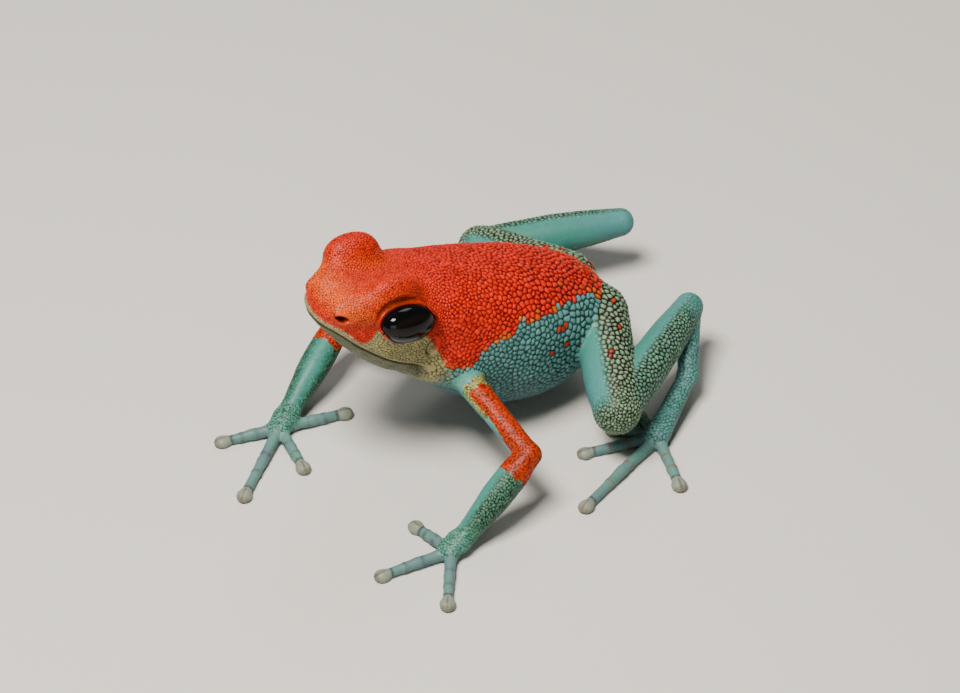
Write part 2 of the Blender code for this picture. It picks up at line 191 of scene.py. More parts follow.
def from_body(f, l, n):
    """Body frame to world frame, one point."""
    f += SNOUT_LEAN * (n - 1.2) * min(1.0, max(0.0, (f - 16.0) / 3.5))
    t = min(1.0, max(0.0, (f - HEAD_FROM[0]) / (HEAD_FROM[1] - HEAD_FROM[0])))
    t = t * t * (3 - 2 * t)
    roll, yaw = HEAD_ROLL * t, HEAD_YAW * t
    l, n = l * math.cos(roll) + n * math.sin(roll), n * math.cos(roll) - l * math.sin(roll)
    f, l = f - l * math.sin(yaw), l + (f - HEAD_PIVOT) * math.sin(yaw)
    return np.array((l, -f * COS_P + n * SIN_P, VENT_HEIGHT + f * SIN_P + n * COS_P))


def to_body(P):
    """World frame to body frame, many points."""
    x, y, z = P[:, 0], P[:, 1], P[:, 2] - VENT_HEIGHT
    f3 = -y * COS_P + z * SIN_P
    n2 = y * SIN_P + z * COS_P
    f1 = f3
    for _ in range(3):
        t = ramp(f1, *HEAD_FROM)
        sin_yaw = np.sin(HEAD_YAW * t)
        l2 = x - (f1 - HEAD_PIVOT) * sin_yaw
        f1 = f3 + l2 * sin_yaw
    roll = HEAD_ROLL * t
    l = l2 * np.cos(roll) - n2 * np.sin(roll)
    n = n2 * np.cos(roll) + l2 * np.sin(roll)
    f = f1
    for _ in range(3):
        f = f1 - SNOUT_LEAN * (n - 1.2) * np.clip((f - 16.0) / 3.5, 0.0, 1.0)
    return f, l, n


def ellipsoid_sdf(x, y, z, half):
    k0 = np.sqrt((x / half[0]) ** 2 + (y / half[1]) ** 2 + (z / half[2]) ** 2)
    k1 = np.sqrt((x / half[0] ** 2) ** 2 + (y / half[1] ** 2) ** 2 + (z / half[2] ** 2) ** 2)
    return k0 * (k0 - 1.0) / np.maximum(k1, 1e-6)


def length_sdf(P, a, b, radii, flat=1.0):
    """A length of limb with round ends, whose radius follows a table. flat < 1 presses it down."""
    a, b = np.asarray(a, float), np.asarray(b, float)
    ab = b - a
    t = np.clip((P - a) @ ab / (ab @ ab), 0.0, 1.0)
    marks = np.linspace(0, 1, len(radii))
    table = smooth_table(np.stack([marks, radii], 1), 0.04)
    r = np.interp(t, table[:, 0], table[:, 1])
    q = P - a - t[:, None] * ab
    if flat != 1.0:
        q[:, 2] /= flat
        return (np.sqrt((q * q).sum(1)) - r) * (0.5 + 0.5 * flat)
    return np.sqrt((q * q).sum(1)) - r


def near(P, points, margin):
    """Which points are in the box round those, grown by margin."""
    points = np.asarray(points, float)
    low, high = points.min(0) - margin, points.max(0) + margin
    return np.flatnonzero(((P > low) & (P < high)).all(1))


# ================================================================ form: head and trunk
def loft_sdf(f, l, n):
    fc = np.clip(f, BODY_TABLE[0, 0], BODY_TABLE[-1, 0])
    w, top, bottom, q = (np.interp(fc, BODY_TABLE[:, 0], BODY_TABLE[:, k]) for k in (1, 2, 3, 4))
    middle = 0.35 * (top + bottom)
    high = n > middle
    h = np.where(high, top - middle, middle - bottom)
    a, b = np.abs(l) / w + 1e-6, np.abs(n - middle) / h + 1e-6
    rho = (a**q + b**q) ** (1 / q)
    slope = rho ** (1 - q) * np.sqrt((a ** (q - 1) / w) ** 2 + (b ** (q - 1) / h) ** 2)
    # the round ends
    front = f > 10.0
    start, stop, p = (np.where(front, SNOUT_END[k], RUMP_END[k]) for k in range(3))
    e = np.maximum((f - start) / (stop - start), 1e-6)
    whole = (rho**p + e**p) ** (1 / p)
    slope = whole ** (1 - p) * np.sqrt((rho ** (p - 1) * slope) ** 2 + (e ** (p - 1) / (stop - start)) ** 2)
    return (whole - 1.0) / np.maximum(slope, 0.12)


def mouth_height(f):
    return np.interp(f, MOUTH_TABLE[:, 0], MOUTH_TABLE[:, 1])


def head_and_trunk(P):
    f, l, n = to_body(P)
    s = np.abs(l)
    d = loft_sdf(f, l, n)
    d = smin(d, ellipsoid_sdf(f - SHOULDER[0], s - SHOULDER[1], n - SHOULDER[2], SHOULDER_SIZE), 0.9)
    d = smin(d, ellipsoid_sdf(f - HIP[0], s - HIP[1], n - HIP[2], HIP_SIZE), 0.9)
    head = np.flatnonzero(f > 11.0)
    if len(head):
        d[head] = head_detail(d[head], f[head], l[head], n[head])
    return d


def eye_middle(l):
    """Distance of the eye's middle from the midline, and its height: the right eye is drawn in a little."""
    right = l < 0
    return np.where(right, EYE[1] - EYE_IN, EYE[1]), np.where(right, EYE[2] - 0.5 * EYE_IN, EYE[2])


def eye_oval(f, l, n):
    """1 at the edge of the lids, seen from the side, and less on the eye. The left brow leaves the eye
    free from above and in front too, as if the oval were swept that way as well."""
    _, up = eye_middle(l)
    wide, high = EYE_BALL[0] + 0.01, np.where(l < 0, EYE_BALL[2] - 0.10, EYE_BALL[2] + 0.01)
    past = np.maximum(lid_plane(f, l, n) - 0.02, 0.0) * (l > 0)
    x, z = (f - EYE[0]) / wide, (n - up) / high
    to_x, to_z = SWEEP[0] * past / wide, SWEEP[1] * past / high
    t = np.clip((x * to_x + z * to_z) / np.maximum(to_x**2 + to_z**2, 1e-9), 0.0, 1.0)
    return np.sqrt((x - t * to_x) ** 2 + (z - t * to_z) ** 2)


def lid_plane(f, l, n):
    """Distance out from the plane of the lids' edges. The left lids open further over the top of the
    eye than the right ones."""
    out, up = eye_middle(l)
    lean_n, lean_f = np.where(l < 0, -0.30, 0.45), np.where(l < 0, 0.35, 0.12)
    return np.abs(l) - (out - EYE[1] + LID_FROM - lean_n * (n - up) - lean_f * (f - EYE[0]))


def lid_opening(f, l, n):
    """Negative where the lids are open: an oval as large as the ball, looking sideways."""
    return smax((eye_oval(f, l, n) - 1.0) * 1.35, -lid_plane(f, l, n), 0.12)


def lid_edge(f, l, n):
    """Distance from the lids' edge, which lies on the ball."""
    out, up = eye_middle(l)
    ball = ellipsoid_sdf(f - EYE[0], np.abs(l) - out, n - up, EYE_BALL)
    return np.sqrt(lid_opening(f, l, n) ** 2 + (ball - 0.01) ** 2), ball


def brow_sdf(f, l, n):
    more = ramp(-l, -0.4, 0.4)
    place = [BROW[k] + more * BROW_LIFT[k] for k in range(3)]
    size = [BROW_SIZE[k] + more * BROW_GROW[k] for k in range(3)]
    return ellipsoid_sdf(f - place[0], np.abs(l) - place[1], n - place[2], size)


def head_detail(d, f, l, n):
    """Brows, eye sockets with their lids, cheeks, mouth line and nostrils."""
    s = np.abs(l)  # distance to the midline
    d = smin(d, brow_sdf(f, l, n), 0.8)
    a, b, radii = CANTHUS
    ax = np.array(b) - a
    t = np.clip(((f - a[0]) * ax[0] + (s - a[1]) * ax[1] + (n - a[2]) * ax[2]) / (ax @ ax), 0, 1)
    ridge = np.sqrt((f - a[0] - t * ax[0]) ** 2 + (s - a[1] - t * ax[1]) ** 2 + (n - a[2] - t * ax[2]) ** 2)
    d = smin(d, ridge - (radii[0] + t * (radii[1] - radii[0])), 0.7)
    d = smin(d, ellipsoid_sdf(f - JAW_ANGLE[0], s - JAW_ANGLE[1], n - JAW_ANGLE[2], JAW_ANGLE_SIZE), 0.5)
    # the side of the snout is a little hollow between eye and nostril, under its ridge
    d = d + 0.16 * bump(f, 18.1, 0.8) * bump(n, 1.15, 0.50) * ramp(s, 1.2, 2.0)
    # mouth: the upper lip stands out past a thin groove
    m = mouth_height(f)
    at_mouth = ramp(f, 13.3, 14.2) * ramp(s + 3.0 * np.maximum(f - 19.3, 0), 0.2, 0.9)
    d = d + 0.16 * np.exp(-(((n - m) / 0.085) ** 2)) * at_mouth
    d = d - 0.06 * np.exp(-(((n - m - 0.24) / 0.17) ** 2)) * at_mouth
    d = d + 0.08 * ramp(m - n, 0.0, 0.45) * ramp(f, 14.0, 16.0)
    # ear
    ear = np.sqrt(((f - 13.42) / 0.36) ** 2 + ((n - 0.02) / 0.55) ** 2)
    d = d + (0.12 * np.exp(-(((ear - 1.0) / 0.20) ** 2)) * ramp(f, 13.2, 13.6) + 0.05 * np.maximum(1 - ear, 0)) * ramp(s, 1.5, 2.5)
    # folds of loose skin at the angle of the jaw and across the throat
    fold = np.sin(2.4 * (f - 0.55 * n) + 1.5 * np.sin(1.1 * s + 0.4 * f))
    d = d + 0.05 * np.maximum(fold, 0) ** 3 * ramp(m - n, 0.4, 1.4) * ramp(f, 11.3, 12.6) * ramp(17.5 - f, 0.0, 2.0)
    # nostril
    x, y, z = f - NOSTRIL[0], s - NOSTRIL[1], n - NOSTRIL[2]
    d = smin(d, np.sqrt((x / 0.55) ** 2 + ((y + 0.30) / 0.42) ** 2 + (z / 0.42) ** 2) * 0.42 - 0.36, 0.30)
    d = smax(d, -ellipsoid_sdf(x * 0.9 + y * 0.4, y * 0.9 - x * 0.4, z, (0.34, 0.50, 0.20)), 0.07)
    # eye: the lids' opening, the socket and the lids' rolled edge
    rim, ball = lid_edge(f, l, n)
    d = smin(d, smax(ball - 0.11, lid_plane(f, l, n) - 0.04, 0.1), 0.16)
    d = smax(d, np.minimum(-lid_opening(f, l, n), ball + 0.16), 0.08)
    return smin(d, rim - 0.10, 0.05)


# ================================================================ form: limbs
def digits_of(palm, tips, height=0.36):
    """(start, middle, tip) of each digit, from the middle of the palm."""
    made = []
    for tip in tips:
        tip = np.array((*tip, 0.24))
        start = np.array((palm[0], palm[1], height + 0.06))
        out = tip - start
        out[2] = 0
        out /= np.linalg.norm(out)
        made.append((start, start * 0.5 + tip * 0.5 + (0, 0, 0.05), tip, out))
    return made


DIGITS = {}
for _side, _arm, _leg in (("left", ARM_L, LEG_L), ("right", ARM_R, LEG_R)):
    DIGITS["finger", _side] = digits_of(_arm["palm"], _arm["digits"])
    DIGITS["toe", _side] = digits_of(_leg["ball"], _leg["digits"])


def digits_sdf(P, made):
    d = np.full(len(P), 9.0)
    for start, middle, tip, out in made:
        i = near(P, (start, tip), 1.2)
        if not len(i):
            continue
        Q = P[i]
        one = length_sdf(Q, start, middle, (DIGIT_R + 0.10, DIGIT_R + 0.03, DIGIT_R - 0.02))
        one = smin(one, length_sdf(Q, middle, tip, (DIGIT_R + 0.01, DIGIT_R - 0.03, DIGIT_R - 0.02)), 0.12)
        # a joint's slight swelling, and the disc with its two scutes and the groove between them
        for share in (0.42, 0.68):
            at = start + (tip - start) * share
            one = smin(one, np.sqrt(((Q - at) ** 2).sum(1)) - DIGIT_R * 1.02, 0.10)
        v = Q - tip - out * 0.05
        along, across = v @ out, v @ np.array((-out[1], out[0], 0.0))
        pad = ellipsoid_sdf(along, across, v[:, 2], PAD)
        pad = pad + 0.035 * bump(across, 0.0, 0.07) * ramp(v[:, 2], 0.08, 0.2) * ramp(along, -0.25, 0.0)
        one = smin(one, pad, 0.14)
        d[i] = smin(d[i], one, 0.15)
    return d


def arm_sdf(P, arm, side):
    upper = length_sdf(P, arm["shoulder"], arm["elbow"], UPPER_ARM)
    fore = length_sdf(P, arm["elbow"], arm["wrist"], FOREARM)
    hand = length_sdf(P, arm["wrist"], arm["palm"], PALM, flat=0.75)
    d = smin(upper, fore, 0.22)
    d = smin(d, hand, 0.20)
    return smin(d, digits_sdf(P, DIGITS["finger", side]), 0.28)


def leg_sdf(P, leg, side):
    thigh = length_sdf(P, leg["hip"], leg["knee"], THIGH)
    shank = length_sdf(P, leg["knee"], leg["heel"], SHANK)
    tarsus = length_sdf(P, leg["heel"], leg["mid"], TARSUS)
    foot = length_sdf(P, leg["mid"], leg["ball"], SOLE, flat=0.85)
    d = smin(thigh, shank, 0.16)
    low = smin(tarsus, foot, 0.3)
    low = smin(low, digits_sdf(P, DIGITS["toe", side]), 0.28)
    return smin(d, low, 0.14)


def joints_of(limb):
    return [p for key, p in limb.items() if key != "digits"] + [(*p, 0.3) for p in limb["digits"]]


LIMBS = (
    (arm_sdf, ARM_L, "left", "shoulder", 0.55),
    (arm_sdf, ARM_R, "right", "shoulder", 0.55),
    (leg_sdf, LEG_L, "left", "hip", 0.55),
    (leg_sdf, LEG_R, "right", "hip", 0.55),
)


def skin_sdf(P):
    d = np.full(len(P), 5.0)
    i = near(P, ((-4.7, -20.6, 0.3), (4.9, 1.2, 15.0)), 1.4)
    if len(i):
        d[i] = head_and_trunk(P[i])
    for form, limb, side, root, blend in LIMBS:
        i = near(P, joints_of(limb), 2.4)
        if len(i):
            # the fold where a limb leaves the body is soft at its root and tight beyond it
            reach = np.sqrt(((P[i] - np.array(limb[root])) ** 2).sum(1))
            k = 0.14 + blend * np.exp(-((reach / 3.4) ** 2))
            d[i] = smin(d[i], form(P[i], limb, side), k)
    return smax(d, -P[:, 2], 0.06)
# ================================================================ form: end


def in_chunks(function, P, size=200_000):
    return np.concatenate([function(P[i : i + size]) for i in range(0, len(P), size)])


def slope_of(P, h=0.015):
    """(distance, gradient) at each point, from four samples round it."""
    corners = np.array(((1, -1, -1), (-1, -1, 1), (-1, 1, -1), (1, 1, 1)), float)
    total, gradient = 0.0, np.zeros_like(P)
    for c in corners:
        v = in_chunks(skin_sdf, P + c * h)
        total = total + v / 4
        gradient += c * v[:, None]
    return total, gradient / (4 * h)


def onto_skin(P, rounds=2, most=0.12):
    for _ in range(rounds):
        d, g = slope_of(P)
        size = (g * g).sum(1)
        step = g * (d / np.maximum(size, 0.15))[:, None]
        reach = np.sqrt((step * step).sum(1))
        step *= np.minimum(1.0, most / np.maximum(reach, 1e-9))[:, None]
        P = P - step
    return P


# ================================================================ mesh
def nets(pitch):
    """The skin as quads, one point for each cell of a lattice that it crosses."""
    low = np.array((-14.6, -25.2, -0.35))
    high = np.array((15.6, 8.0, 15.0))
    block = 8
    blocks = np.ceil((high - low) / pitch / block).astype(int)
    dims = blocks * block
    grids = np.meshgrid(*[low[k] + pitch * (np.arange(blocks[k]) * block + 3.5) for k in range(3)], indexing="ij")
    centres = np.stack([g.ravel() for g in grids], 1)
    coarse = skin_sdf(centres)
    value = np.repeat(np.repeat(np.repeat(coarse.reshape(blocks), block, 0), block, 1), block, 2).astype(np.float32)
    kept = np.flatnonzero(np.abs(coarse) < block * pitch * 0.87 + 0.45)
    b = np.stack(np.unravel_index(kept, blocks), 1)
    local = np.stack(np.meshgrid(*[np.arange(block)] * 3, indexing="ij"), -1).reshape(-1, 3)
    ijk = (b[:, None, :] * block + local[None]).reshape(-1, 3)
    value[ijk[:, 0], ijk[:, 1], ijk[:, 2]] = in_chunks(skin_sdf, low + pitch * ijk)
    inside = value < 0
    corners = np.stack(np.meshgrid((0, 1), (0, 1), (0, 1), indexing="ij"), -1).reshape(-1, 3)
    cells = dims - 1
    count = np.zeros(cells, np.int8)
    for c in corners:
        count += inside[c[0] : c[0] + cells[0], c[1] : c[1] + cells[1], c[2] : c[2] + cells[2]]
    active = np.flatnonzero((count > 0) & (count < 8))
    cell = np.stack(np.unravel_index(active, cells), 1)
    v = np.stack([value[cell[:, 0] + c[0], cell[:, 1] + c[1], cell[:, 2] + c[2]] for c in corners], 1).astype(float)
    total, crossings = np.zeros((len(cell), 3)), np.zeros(len(cell))
    for i in range(8):
        for j in range(i + 1, 8):
            if np.abs(corners[i] - corners[j]).sum() != 1:
                continue
            cross = (v[:, i] < 0) != (v[:, j] < 0)
            t = np.where(cross, v[:, i] / np.where(cross, v[:, i] - v[:, j], 1.0), 0.0)
            total += (corners[i] + t[:, None] * (corners[j] - corners[i])) * cross[:, None]
            crossings += cross
    points = low + pitch * (cell + total / crossings[:, None])
    index = np.full(cells, -1, np.int32)
    index[cell[:, 0], cell[:, 1], cell[:, 2]] = np.arange(len(cell))
    quads = []
    for axis in range(3):
        u, w = (axis + 1) % 3, (axis + 2) % 3
        a = np.take(inside, range(dims[axis] - 1), axis)
        b = np.take(inside, range(1, dims[axis]), axis)
        edge = np.stack(np.nonzero(a != b), 1)
        edge = edge[((edge > 0) | (np.arange(3) == axis)).all(1) & (edge < cells).all(1)]
        ring = []
        for du, dw in ((-1, -1), (0, -1), (0, 0), (-1, 0)):
            e = edge.copy()
            e[:, u] += du
            e[:, w] += dw
            ring.append(index[e[:, 0], e[:, 1], e[:, 2]])
        ring = np.stack(ring, 1)
        outward = a[edge[:, 0], edge[:, 1], edge[:, 2]]
        quads.append(np.where(outward[:, None], ring, ring[:, ::-1]))
    quads = np.concatenate(quads)
    return points, quads[(quads >= 0).all(1)]


def edges_of(T):
    ends = np.concatenate([T[:, [0, 1]], T[:, [1, 2]], T[:, [2, 0]]])
    ends = np.sort(ends, axis=1)
    key = ends[:, 0].astype(np.int64) * (T.max() + 1) + ends[:, 1]
    _, first, inverse = np.unique(key, return_index=True, return_inverse=True)
    return ends[first], inverse.reshape(3, -1).T


def relaxed(P, T, rounds=1, share=0.5):
    ends, _ = edges_of(T)
    a, b = ends[:, 0], ends[:, 1]
    degree = np.bincount(a, minlength=len(P)) + np.bincount(b, minlength=len(P))
    for _ in range(rounds):
        mean = np.stack(
            [np.bincount(a, P[b, k], len(P)) + np.bincount(b, P[a, k], len(P)) for k in range(3)], 1
        ) / degree[:, None]
        P = onto_skin(P + share * (mean - P), 1)
    return P


def refined(P, T, wanted):
    """Splits each edge that is longer than wanted there, and every triangle to match."""
    ends, of_face = edges_of(T)
    middle = 0.5 * (P[ends[:, 0]] + P[ends[:, 1]])
    long = np.linalg.norm(P[ends[:, 0]] - P[ends[:, 1]], axis=1) > wanted(middle)
    new = np.full(len(ends), -1)
    new[long] = len(P) + np.arange(long.sum())
    fresh = onto_skin(middle[long], 2)
    m = new[of_face]  # the new point of edges 01, 12 and 20, or -1
    count = (m >= 0).sum(1)
    made = [T[count == 0]]
    t, e = T[count == 3], m[count == 3]
    made += [
        np.stack([t[:, 0], e[:, 0], e[:, 2]], 1),
        np.stack([e[:, 0], t[:, 1], e[:, 1]], 1),
        np.stack([e[:, 2], e[:, 1], t[:, 2]], 1),
        e,
    ]
    for k in range(3):
        turn = [(k + i) % 3 for i in range(3)]
        one = (count == 1) & (m[:, k] >= 0)
        t, e = T[one][:, turn], m[one][:, turn]
        made += [np.stack([t[:, 0], e[:, 0], t[:, 2]], 1), np.stack([e[:, 0], t[:, 1], t[:, 2]], 1)]
        two = (count == 2) & (m[:, (k + 2) % 3] < 0)
        t, e = T[two][:, turn], m[two][:, turn]
        made += [
            np.stack([e[:, 0], t[:, 1], e[:, 1]], 1),
            np.stack([t[:, 0], e[:, 0], e[:, 1]], 1),
            np.stack([t[:, 0], e[:, 1], t[:, 2]], 1),
        ]
    return np.concatenate([P, fresh]), np.concatenate(made)


def wanted_edge(P):
    """Length of edge wanted at a point: fine on the head and finest round mouth, eyes and nostrils."""
    f, l, n = to_body(P)
    s = np.abs(l)
    out = np.full(len(P), 0.105)
    d = head_and_trunk_quick(f, l, n)
    on_head = (f > 12.5) & (d < 0.3)
    out[on_head] = 0.062
    fine = on_head & (f > 13.2) & (
        (np.abs(n - mouth_height(f)) < 0.28)
        | (lid_edge(f, l, n)[0] < 0.25)
        | (np.sqrt((f - NOSTRIL[0]) ** 2 + (s - NOSTRIL[1]) ** 2 + (n - NOSTRIL[2]) ** 2) < 0.45)
    )
    out[fine] = 0.040
    return out


def head_and_trunk_quick(f, l, n):
    return smin(loft_sdf(f, l, n), brow_sdf(f, l, n), 0.8)


def make_mesh(name, P, faces):
    mesh = bpy.data.meshes.new(name)
    mesh.vertices.add(len(P))
    mesh.vertices.foreach_set("co", ((P + SHIFT) * MM).astype(np.float32).ravel())
    mesh.loops.add(faces.size)
    mesh.loops.foreach_set("vertex_index", faces.astype(np.int32).ravel())
    mesh.polygons.add(len(faces))
    mesh.polygons.foreach_set("loop_start", np.arange(0, faces.size, faces.shape[1], dtype=np.int32))
    mesh.update(calc_edges=True)
    mesh.shade_smooth()
    obj = bpy.data.objects.new(name, mesh)
    bpy.context.scene.collection.objects.link(obj)
    return obj


# ================================================================ looks: where each part of the skin is
def srgb(*rgb):
    """A colour as 0 to 255 on a screen, made linear."""
    c = np.array(rgb, float) / 255
    return np.where(c <= 0.04045, c / 12.92, ((c + 0.055) / 1.055) ** 2.4)


def unit(*v):
    v = np.array(v, float)
    return v / np.linalg.norm(v)


def noise(P, size, seed):
    """Smooth noise from -1 to 1 on a lattice of that size."""
    q = P / size + seed * 17.31
    base = np.floor(q).astype(np.int64)
    t = q - base
    t = t * t * (3 - 2 * t)
    out = np.zeros(len(P))
    for c in ((0, 0, 0), (0, 0, 1), (0, 1, 0), (0, 1, 1), (1, 0, 0), (1, 0, 1), (1, 1, 0), (1, 1, 1)):
        c = np.array(c)
        k = base + c
        h = (k[:, 0] * 73856093) ^ (k[:, 1] * 19349663) ^ (k[:, 2] * 83492791) ^ (seed * 2654435761)
        h = ((h ^ (h >> 13)) * 1274126177) & 0xFFFFFFFF
        h = (h ^ (h >> 16)) & 0xFFFF
        w = np.where(c, t, 1 - t).prod(1)
        out += w * (h / 32767.5 - 1)
    return out


def along(P, a, b):
    """Share of the way from a to b, and the direction off the axis."""
    a, b = np.asarray(a, float), np.asarray(b, float)
    ab = b - a
    t = (P - a) @ ab / (ab @ ab)
    q = P - a - t[:, None] * ab
    size = np.sqrt((q * q).sum(1))
    return t, q / np.maximum(size, 1e-6)[:, None], size


PARTS = ("body", "upper", "fore", "hand", "finger", "thigh", "shank", "tarsus", "foot", "toe")


def part_of(P):
    """(index in PARTS, side: 1 left and -1 right) of the part that each point lies on."""
    best = np.full(len(P), 9.0)
    part, side = np.zeros(len(P), int), np.ones(len(P), int)
    f, l, n = to_body(P)
    i = near(P, ((-4.7, -20.6, 0.3), (4.9, 1.2, 15.0)), 1.4)
    best[i] = head_and_trunk(P[i])

    def offer(k, which, i, d):
        better = d < best[i]
        j = i[better]
        best[j], part[j], side[j] = d[better], k, which

    for which, name, arm, leg in ((1, "left", ARM_L, LEG_L), (-1, "right", ARM_R, LEG_R)):
        for k, limb, a, b, radii in (
            (1, arm, "shoulder", "elbow", UPPER_ARM),
            (2, arm, "elbow", "wrist", FOREARM),
            (3, arm, "wrist", "palm", PALM),
            (5, leg, "hip", "knee", THIGH),
            (6, leg, "knee", "heel", SHANK),
            (7, leg, "heel", "mid", TARSUS),
            (8, leg, "mid", "ball", SOLE),
        ):
            i = near(P, (limb[a], limb[b]), 2.4)
            if len(i):
                offer(k, which, i, length_sdf(P[i], limb[a], limb[b], radii))
        for k, word in ((4, "finger"), (9, "toe")):
            for start, middle, tip, out in DIGITS[word, name]:
                i = near(P, (start, tip), 1.2)
                if len(i):
                    offer(k, which, i, length_sdf(P[i], start + out * 0.9, tip, (DIGIT_R, DIGIT_R, PAD[0])))
    return part, side


# Height of the edge of the red coat along the body: f, n
RED_EDGE = smooth_table(
    ((-2.0, 0.6), (0.2, 1.1), (1.2, 1.60), (3.0, 1.88), (4.0, 1.95), (4.8, 1.80), (5.5, 1.52), (6.7, 1.45), (7.8, 1.20), (8.5, 0.72),
     (9.4, 0.50), (10.1, -0.42), (10.8, -1.00), (11.5, -1.36), (12.0, -1.42), (12.4, -0.98), (12.9, -0.38), (13.4, 0.12), (13.9, 0.75),
     (14.6, 0.95), (16.6, 1.15), (17.25, 1.20), (17.55, 0.60), (17.85, 0.28), (18.3, 0.32), (18.9, 0.74), (19.5, 0.98), (20.1, 1.02), (21.5, 1.0)),
    0.05,
)

# Colours of the tops of granules and of the gaps between them
RED = dict(top=srgb(194, 26, 0), gap=srgb(58, 0, 0))
RED_HEAD = dict(top=srgb(192, 34, 0), gap=srgb(64, 0, 0))
ORANGE = dict(top=srgb(170, 46, 0), gap=srgb(50, 4, 0))
FRINGE = srgb(206, 110, 14)
FLANK = dict(top=srgb(78, 130, 126), gap=srgb(20, 46, 48))
# the throat's duller colour is partly its own and partly painted shade under the jaw
CREAM = dict(top=srgb(152, 144, 96), gap=srgb(46, 42, 22))
THROAT_AND_SHADE = dict(top=srgb(76, 82, 62), gap=srgb(26, 32, 22))
BELLY = dict(top=srgb(54, 102, 106), gap=srgb(10, 38, 44))
SMOOTH = srgb(58, 124, 114)
SMOOTH_BLUE = srgb(72, 128, 128)
THIGH_GRAIN = dict(top=srgb(110, 142, 112), gap=srgb(8, 10, 6))
SHANK_GRAIN = dict(top=srgb(90, 130, 108), gap=srgb(4, 16, 12))
FORE_GRAIN = dict(top=srgb(66, 112, 88), gap=srgb(2, 10, 8))
DIGIT = srgb(84, 126, 116)
BAND = srgb(54, 24, 18)
DISC = srgb(128, 132, 116)
LIP = srgb(136, 128, 96)


def blend(a, b, w):
    """From a to b by the weight w: numbers, or colours with three values each."""
    a, b, w = np.asarray(a, float), np.asarray(b, float), np.asarray(w, float)
    if w.ndim == 1 and (a.shape[-1:] == (3,) or b.shape[-1:] == (3,)):
        w = w[:, None]
    return a * (1 - w) + b * w


